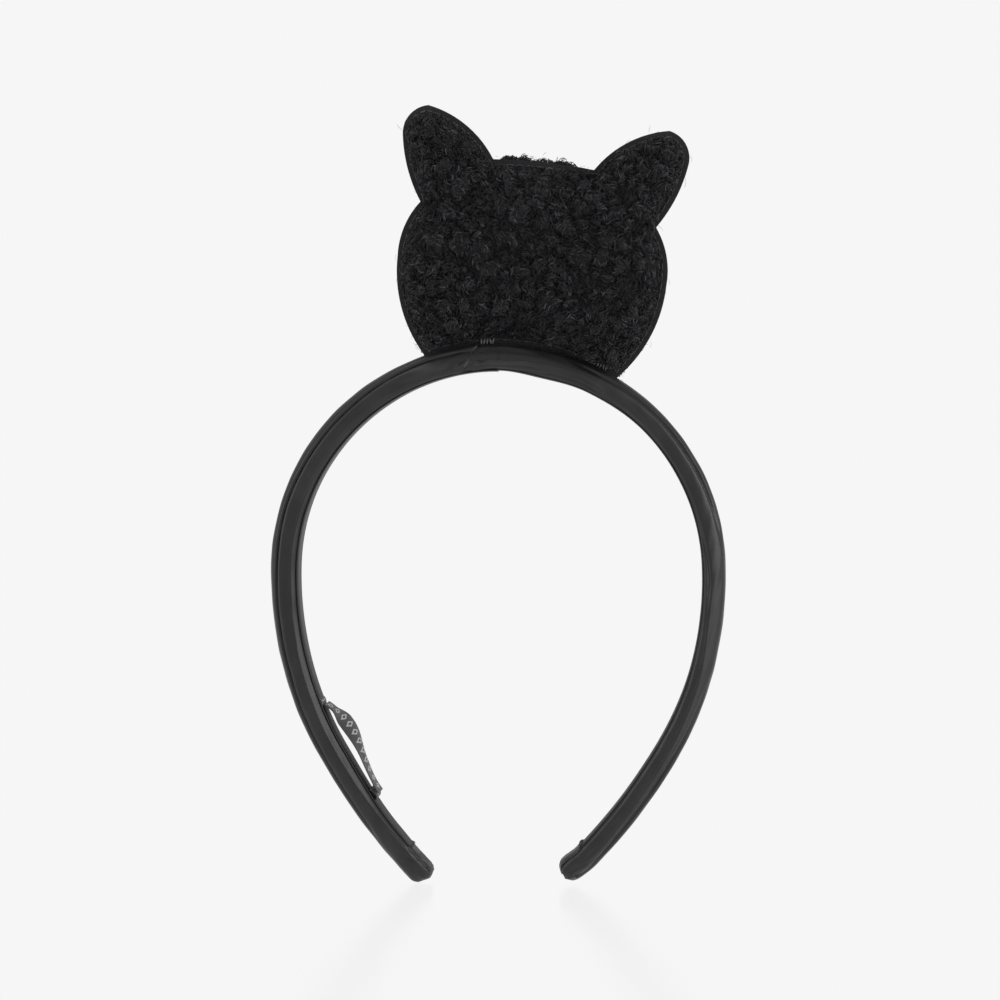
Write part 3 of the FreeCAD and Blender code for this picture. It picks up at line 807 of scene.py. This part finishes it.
# ------------------------------------------------------------------ topstitching
# One row of black thread round each face of the rim, sewn by machine through the
# panel's turned edge and the felt, which it draws down into a shallow line.
STITCH_PITCH = 2.9
STITCH_INSET = 1.55
outline = head_outline(STITCH_PITCH / 8)
inset_line = []
for index, point in enumerate(outline):
    way = outline[(index + 3) % len(outline)] - outline[index - 3]
    inset_line.append(point + Vector((-way.y, way.x)).normalized() * STITCH_INSET)
for face_name, side in (("front", -1), ("back", 1)):
    bm = bmesh.new()
    for index in range(0, len(inset_line) - 7, 8):
        ends = [inset_line[index], inset_line[(index + 7) % len(inset_line)]]
        start, end = (on_head(point.x, point.y, side * 1.02) for point in ends)
        add_stitch(bm, start, end, Vector((0, side * 0.2 * MM, 0)), 0.42 * MM)
    piece = finished(f"topstitch_{face_name}_thread", bm, thread_material, "cat_head")
    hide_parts(f"topstitch_{face_name}")


# ------------------------------------------------------------------ pile panels
# Knitted boucle, its looped yarn standing in clumps 3 to 6 mm wide. Each panel is
# cut 2 mm inside the board, plumped by the wadding and sewn down round its edge.
CLUMP = 5.4 * MM
CLUMP_DEPTH = 1.7 * MM
VOXEL = 1.15 * MM
SIM_SCALE = 20
MOST_SWELL = 1.1 * MM


def evaluated_mesh(piece):
    """The piece's mesh with its modifiers applied."""
    graph = bpy.context.evaluated_depsgraph_get()
    return bpy.data.meshes.new_from_object(piece.evaluated_get(graph))


def plump(piece, side):
    """Let pressure swell the panel between its sewn edges, as stuffing does."""
    scene = bpy.context.scene
    start = [vert.co.copy() for vert in piece.data.vertices]
    for vert in piece.data.vertices:
        vert.co *= SIM_SCALE
    pinned = piece.vertex_groups.new(name="sewn")
    for vert, place in zip(piece.data.vertices, start):
        if abs(place.y) < 2.6 * MM:
            pinned.add([vert.index], 1.0, "REPLACE")
    cloth = piece.modifiers.new("Cloth", "CLOTH")
    cloth.settings.quality = 6
    cloth.settings.mass = 0.3
    cloth.settings.tension_stiffness = 12
    cloth.settings.compression_stiffness = 12
    cloth.settings.bending_stiffness = 0.4
    cloth.settings.use_pressure = True
    cloth.settings.uniform_pressure_force = 4
    cloth.settings.vertex_group_mass = "sewn"
    cloth.settings.effector_weights.gravity = 0
    cloth.point_cache.frame_start = 1
    cloth.point_cache.frame_end = 20
    for step in range(1, 21):
        scene.frame_set(step)
    swollen = evaluated_mesh(piece)
    for vert, place, moved in zip(piece.data.vertices, start, swollen.vertices):
        change = moved.co / SIM_SCALE - place
        if change.length > MOST_SWELL:
            change *= MOST_SWELL / change.length
        vert.co = place + change
    piece.modifiers.clear()
    piece.vertex_groups.clear()
    scene.frame_set(1)


def clump_at(point):
    """How high the pile stands over a point, 1 on top of a clump and 0 in a cleft, and its shade."""
    warped = point + 2.4 * MM * noise.noise_vector(point * 300)
    near, centres = noise.voronoi(warped / CLUMP)
    height = smooth(-0.06, 0.34, near[1] - near[0]) * (1 - 0.35 * min(near[0], 1.0) ** 2)
    shade = 0.45 + 0.3 * noise.noise(centres[0] * 3.7) + 0.55 * noise.noise(point * 240)
    return height, min(max(shade, 0.0), 1.0)


def store_colours_with_painted_light(mesh, colours_with_painted_light):
    """Store the yarn's colour at each point for the material to read, painted shade and painted glints
    included.
    """
    attribute = mesh.attributes.new("tone_and_painted_light", "FLOAT", "POINT")
    attribute.data.foreach_set("value", colours_with_painted_light)


def pile_panel(face_name, side, sag):
    """The knitted ground of one panel, from the shape of its fabric and its wadding."""
    bm = bmesh.new()
    for node_name in (f"boucle_panel_{face_name}", f"wadding_{face_name}"):
        bm.from_mesh(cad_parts[node_name].data)
    bmesh.ops.remove_doubles(bm, verts=bm.verts, dist=0.001 * MM)
    rough = bpy.data.meshes.new("rough")
    bm.to_mesh(rough)
    bm.free()
    piece = bpy.data.objects.new(f"boucle_panel_{face_name}_cloth", rough)
    bpy.context.scene.collection.objects.link(piece)
    remesh = piece.modifiers.new("Remesh", "REMESH")
    remesh.mode = "VOXEL"
    remesh.voxel_size = VOXEL
    solid = evaluated_mesh(piece)
    piece.modifiers.clear()
    piece.data = solid
    plump(piece, side)
    bm = bmesh.new()
    bm.from_mesh(piece.data)
    bmesh.ops.subdivide_edges(bm, edges=bm.edges, cuts=1, use_grid_fill=True)
    for _ in range(2):
        bmesh.ops.smooth_vert(bm, verts=bm.verts, factor=0.5,
                              use_axis_x=True, use_axis_y=True, use_axis_z=True)
    bm.normal_update()
    for vert in bm.verts:
        vert.co += sag(vert.co)
    grown = [(vert, vert.normal.copy(), *clump_at(vert.co)) for vert in bm.verts]
    colours_with_painted_light = []
    for vert, normal, height, shade in grown:
        free = smooth(1.4 * MM, 3.6 * MM, abs(vert.co.y))
        vert.co += normal * (height - 0.7) * CLUMP_DEPTH * free
        # painted shade: the ground's colour is made darker down in the clefts
        colours_with_painted_light.append(0.5 * shade * height)
        vert.co.y = side * max(abs(vert.co.y), 1.03 * MM)
    bmesh.ops.triangulate(bm, faces=bm.faces)
    bmesh.ops.recalc_face_normals(bm, faces=bm.faces)
    for face in bm.faces:
        face.smooth = True
    bm.to_mesh(piece.data)
    bm.free()
    store_colours_with_painted_light(piece.data, colours_with_painted_light)
    return piece


def head_place(point):
    """Across and up on the head, in mm, for a point of the row."""
    x = point.x / MM
    z = (point.z - CROWN_CENTRE) / MM
    return x * math.cos(LEAN) - z * math.sin(LEAN), x * math.sin(LEAN) + z * math.cos(LEAN)


FOOT_LIFT = [(-27, -2.4), (-19, -2.4), (-14, 0.9), (-8, 1.3), (-2, 0.6), (4, -2.2), (24, -3.4), (28, -2.4)]


def front_sag(point):
    """The front panel rides up left of the middle, and droops over the band on the right."""
    across, up = head_place(point)
    lift = run_through(FOOT_LIFT, min(max(across, -26.9), 27.9))
    near_foot = 1 - smooth(66.5, 76, math.hypot(across, up))
    start = 1.0 if lift > 0 else 4.0
    depth = smooth(start, start + 2.5, abs(point.y) / MM)
    return on_head(0, lift * near_foot * depth, 0) - on_head(0, 0, 0)


def back_sag(point):
    """The back panel stands up over the rim between the ears."""
    across, up = head_place(point)
    lift = 3.4 * (1 - smooth(8, 16, abs(across + 2))) * smooth(107, 115, up)
    near_foot = 1 - smooth(66.5, 76, math.hypot(across, up))
    lift *= smooth(1.2, 3.5, abs(point.y) / MM)
    lift -= 4.0 * near_foot * smooth(1.4, 4.0, abs(point.y) / MM)
    return on_head(0, lift, 0) - on_head(0, 0, 0)


# black acrylic boucle yarn: soft matt fibre. Its colour holds painted shade, darkest down in the clefts,
# and painted glints, where single loops are coloured lighter; clumps also differ a little in their own
# shade.
pile_material, tree, shader = new_material(
    "acrylic_boucle_yarn", Roughness=0.5, IOR=1.5, Specular_IOR_Level=0.30,
    Sheen_Weight=0.06, Sheen_Roughness=0.45,
)
shader.inputs["Sheen Tint"].default_value = linear("#b9b5c2")
place = add(tree, "ShaderNodeTexCoord")
tone_and_painted_light = add(tree, "ShaderNodeAttribute", attribute_name="tone_and_painted_light")
# the ramp runs from near black, the painted shade in the clefts, to pale grey, the painted glints
shades = add(tree, "ShaderNodeValToRGB", [("Fac", tone_and_painted_light.outputs["Fac"])])
shades.color_ramp.elements[0].position = 0.05
shades.color_ramp.elements[0].color = linear("#060506")
shades.color_ramp.elements[1].position = 1.0
shades.color_ramp.elements[1].color = linear("#454249")
middle = shades.color_ramp.elements.new(0.5)
middle.color = linear("#161517")
tree.links.new(shades.outputs["Color"], shader.inputs["Base Color"])
FIBRE = 0.12 * MM
fuzz = add(
    tree, "ShaderNodeTexNoise", [("Vector", place.outputs["Object"])],
    Scale=1 / FIBRE, Detail=2.0,
)
bump = add(
    tree, "ShaderNodeBump", [("Height", fuzz.outputs["Fac"])], Strength=0.6, Distance=0.08 * MM
)
tree.links.new(bump.outputs["Normal"], shader.inputs["Normal"])

panels = {}
for face_name, side, sag in (("front", -1, front_sag), ("back", 1, back_sag)):
    piece = pile_panel(face_name, side, sag)
    set_material(piece, pile_material)
    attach(piece, "cat_head")
    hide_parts(f"boucle_panel_{face_name}")
    panels[face_name] = piece


# ------------------------------------------------------------------ loops of pile
# The yarn's own curls, each a loop of fibre 1 to 3 mm across that leans the same
# way as its clump, and over them single fibres that have worked loose.
def curl(radius, thickness, turn, rise, steps):
    """One tapered loop of yarn, standing on the origin in the XZ plane."""
    bm = bmesh.new()
    ring = bmesh.ops.create_circle(
        bm, segments=3, radius=thickness * MM / 2, matrix=Matrix.Translation((radius * MM, 0, 0))
    )["verts"]
    edges = list({edge for vert in ring for edge in vert.link_edges})
    first = list(ring)
    spun = bmesh.ops.spin(
        bm, geom=ring + edges, cent=(0, 0, 0), axis=(0, -1, 0), angle=math.radians(turn),
        steps=steps, dvec=(0, rise * MM / steps, 0), use_merge=False, use_duplicate=False,
    )["geom_last"]
    last = [item for item in spun if isinstance(item, bmesh.types.BMVert)]
    for end in (first, last):
        centre = sum((vert.co for vert in end), Vector()) / 3
        bmesh.ops.pointmerge(bm, verts=end, merge_co=centre)
    bmesh.ops.rotate(bm, verts=bm.verts, cent=(0, 0, 0),
                     matrix=Matrix.Rotation(math.radians((turn - 180) / 2), 3, "Y"))
    bmesh.ops.recalc_face_normals(bm, faces=bm.faces)
    for face in bm.faces:
        face.smooth = True
    mesh = bpy.data.meshes.new("curl")
    bm.to_mesh(mesh)
    bm.free()
    return mesh


YARN_CURLS = [(0.62, 0.24, 200, 0.3, 5), (0.45, 0.22, 250, 0.25, 5),
              (0.95, 0.22, 160, 0.5, 5), (0.75, 0.27, 190, -0.4, 5)]
FIBRE_CURLS = [(2.0, 0.075, 80, 0.6, 4), (1.4, 0.065, 120, 0.4, 4), (3.2, 0.07, 60, -0.5, 4)]


def scatter(name, base, shapes, count, seed, lean, sink):
    """Copies of a few shapes over a panel, standing on it and leaning with their clump."""
    rng = random.Random(seed)
    faces = [(face.area, face.center.copy(), face.normal.copy()) for face in base.data.polygons
             if abs(face.center.y) > 2.0 * MM]
    reach = []
    total = 0.0
    for area, _, _ in faces:
        total += area
        reach.append(total)
    templates = [curl(*shape) for shape in shapes]
    bm = bmesh.new()
    colours_with_painted_light = []
    for _ in range(count):
        _, centre, normal = faces[bisect.bisect_left(reach, rng.random() * total)]
        jitter = Vector((rng.uniform(-1, 1), rng.uniform(-1, 1), rng.uniform(-1, 1))) * 0.4 * MM
        flow = noise.noise_vector(centre / (5 * MM)) * 2
        spread = Vector((rng.uniform(-1, 1), rng.uniform(-1, 1), rng.uniform(-1, 1)))
        up = (normal + spread * lean + flow * lean * 0.6).normalized()
        way = flow + spread * 0.55
        sideways = (way - up * way.dot(up)).normalized()
        size = rng.uniform(0.75, 1.25)
        basis = Matrix((sideways, up.cross(sideways), up)).transposed().to_4x4()
        place = Matrix.Translation(centre + jitter - up * sink * MM) @ basis
        place = place @ Matrix.Diagonal((size, size, size * rng.uniform(0.8, 1.15), 1))
        mesh = templates[rng.randrange(len(templates))]
        mesh.transform(place)
        bm.from_mesh(mesh)
        mesh.transform(place.inverted())
        height, shade = clump_at(centre)
        # the loop's own random colour, with painted shade on loops down in the clefts and a painted glint
        # on a few loops at random
        tone_and_painted_light = (0.25 + 0.75 * height) * (0.04 + 0.46 * shade + 0.95 * rng.random() ** 4)
        colours_with_painted_light += [tone_and_painted_light] * len(mesh.vertices)
    mesh = bpy.data.meshes.new(name)
    bm.to_mesh(mesh)
    bm.free()
    store_colours_with_painted_light(mesh, colours_with_painted_light)
    piece = bpy.data.objects.new(name, mesh)
    bpy.context.scene.collection.objects.link(piece)
    set_material(piece, pile_material)
    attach(piece, "cat_head")
    return piece


for index, face_name in enumerate(("front", "back")):
    base = panels[face_name]
    scatter(f"pile_loops_{face_name}_a", base, YARN_CURLS, 8000, 21 + index, 0.4, 0.20)
    scatter(f"pile_loops_{face_name}_b", base, YARN_CURLS, 8000, 31 + index, 0.4, 0.10)
    scatter(f"pile_loops_{face_name}_c", base, YARN_CURLS, 8000, 51 + index, 0.5, 0.0)
    scatter(f"loose_fibres_{face_name}", base, FIBRE_CURLS, 1600, 41 + index, 0.9, 0.2)


# ------------------------------------------------------------------ bartacks
# Short bars of grey thread, sewn by hand through the felt's foot and the satin.
# They are all that holds the head to the band.
grey_thread_material, tree, shader = new_material(
    "grey_sewing_thread", Base_Color=linear("#5f5c60"), Roughness=0.6, IOR=1.5,
    Sheen_Weight=0.2,
)
place = add(tree, "ShaderNodeTexCoord")
plies = add(
    tree, "ShaderNodeTexWave", [("Vector", place.outputs["Object"])],
    bands_direction="DIAGONAL", Scale=1 / PLY / 6.28,
)
bump = add(
    tree, "ShaderNodeBump", [("Height", plies.outputs["Fac"])], Strength=0.6, Distance=0.06 * MM
)
tree.links.new(bump.outputs["Normal"], shader.inputs["Normal"])
bm = bmesh.new()
rng = random.Random(5)
for station, side in ((-8.9, -1), (20, -1), (-15, 1), (15, 1)):
    for index in range(5):
        turn = math.radians(station) + (index - 2) * 0.86 / 66.7
        slant = rng.uniform(-0.25, 0.25) / 66.7
        top = 67.4 + rng.uniform(-0.15, 0.15)
        ends = [(turn - slant, 65.55), (turn + slant, top)]
        start, end = (on_head(r * math.sin(a), r * math.cos(a), side * 1.25) for a, r in ends)
        add_stitch(bm, start, end, Vector((0, side * 0.35 * MM, 0)), 0.52 * MM)
bartacks = finished("bartack_threads", bm, grey_thread_material, "cat_head")
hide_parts("head_bartacks")


# ------------------------------------------------------------------ studio
# A pale glossy table that runs on into a pale backdrop, with wide soft lights
# above and at both sides.
GROUND = -147.08 * MM
ROOM_LIGHT = 0.5
PALE = linear("#f6f6f6")
bm = bmesh.new()
bmesh.ops.create_grid(bm, x_segments=1, y_segments=1, size=6,
                      matrix=Matrix.Translation((0, 0, GROUND - 0.1 * MM)))
mesh = bpy.data.meshes.new("table")
bm.to_mesh(mesh)
bm.free()
table = bpy.data.objects.new("table", mesh)
bpy.context.scene.collection.objects.link(table)
table_material, tree, shader = new_material(
    "white_lacquered_table", Base_Color=(0, 0, 0, 1), Roughness=0.18, Specular_IOR_Level=0.0
)
output = tree.nodes["Material Output"]
GLOSS_SHARE = 0.16
glow = add(
    tree, "ShaderNodeEmission", Color=PALE,
    Strength=(1 - GLOSS_SHARE * ROOM_LIGHT) / (1 - GLOSS_SHARE),
)
gloss = add(tree, "ShaderNodeBsdfGlossy", Color=(1, 1, 1, 1), Roughness=0.2)
lacquer = add(
    tree, "ShaderNodeMixShader", [(1, glow.outputs["Emission"]), (2, gloss.outputs["BSDF"])],
    Fac=GLOSS_SHARE,
)
tree.links.new(lacquer.outputs["Shader"], output.inputs["Surface"])
set_material(table, table_material)

world = bpy.data.worlds.new("studio")
bpy.context.scene.world = world
world.use_nodes = True
tree = world.node_tree
room = tree.nodes["Background"]
room.inputs["Color"].default_value = PALE
room.inputs["Strength"].default_value = ROOM_LIGHT
backdrop = add(tree, "ShaderNodeBackground", Color=PALE, Strength=1.0)
path = add(tree, "ShaderNodeLightPath")
seen = add(
    tree, "ShaderNodeMixShader",
    [("Fac", path.outputs["Is Camera Ray"]), (1, room.outputs["Background"]),
     (2, backdrop.outputs["Background"])],
)
tree.links.new(seen.outputs["Shader"], tree.nodes["World Output"].inputs["Surface"])

AIM = Vector((0.6, 0, -36.8)) * MM
for light_name, place, size, power in (
    ("top_softbox", (-0.25, -0.35, 1.1), 0.7, 5.0),
    ("left_softbox", (-1.1, -0.5, 0.25), 0.7, 6.0),
    ("right_softbox", (1.1, -0.45, 0.35), 0.7, 11.0),
):
    light = bpy.data.lights.new(light_name, "AREA")
    light.size = size
    light.energy = power
    lamp = bpy.data.objects.new(light_name, light)
    bpy.context.scene.collection.objects.link(lamp)
    lamp.location = place
    lamp.rotation_euler = (AIM - Vector(place)).to_track_quat("-Z", "Y").to_euler()

# ------------------------------------------------------------------ camera
# A long lens, a little to the right of the middle and a little above it.
AZIMUTH = math.radians(4)
ELEVATION = math.radians(2.5)
DISTANCE = 0.9
FRAME_WIDTH = 286.34 * MM
camera_data = bpy.data.cameras.new("camera")
camera_data.sensor_width = 36
camera_data.lens = 36 * DISTANCE / FRAME_WIDTH
camera = bpy.data.objects.new("camera", camera_data)
bpy.context.scene.collection.objects.link(camera)
toward = Vector((math.sin(AZIMUTH) * math.cos(ELEVATION),
                 -math.cos(AZIMUTH) * math.cos(ELEVATION), math.sin(ELEVATION)))
camera.location = AIM + toward * DISTANCE
camera.rotation_euler = (-toward).to_track_quat("-Z", "Y").to_euler()
bpy.context.scene.camera = camera
bpy.context.scene.view_settings.view_transform = "Standard"
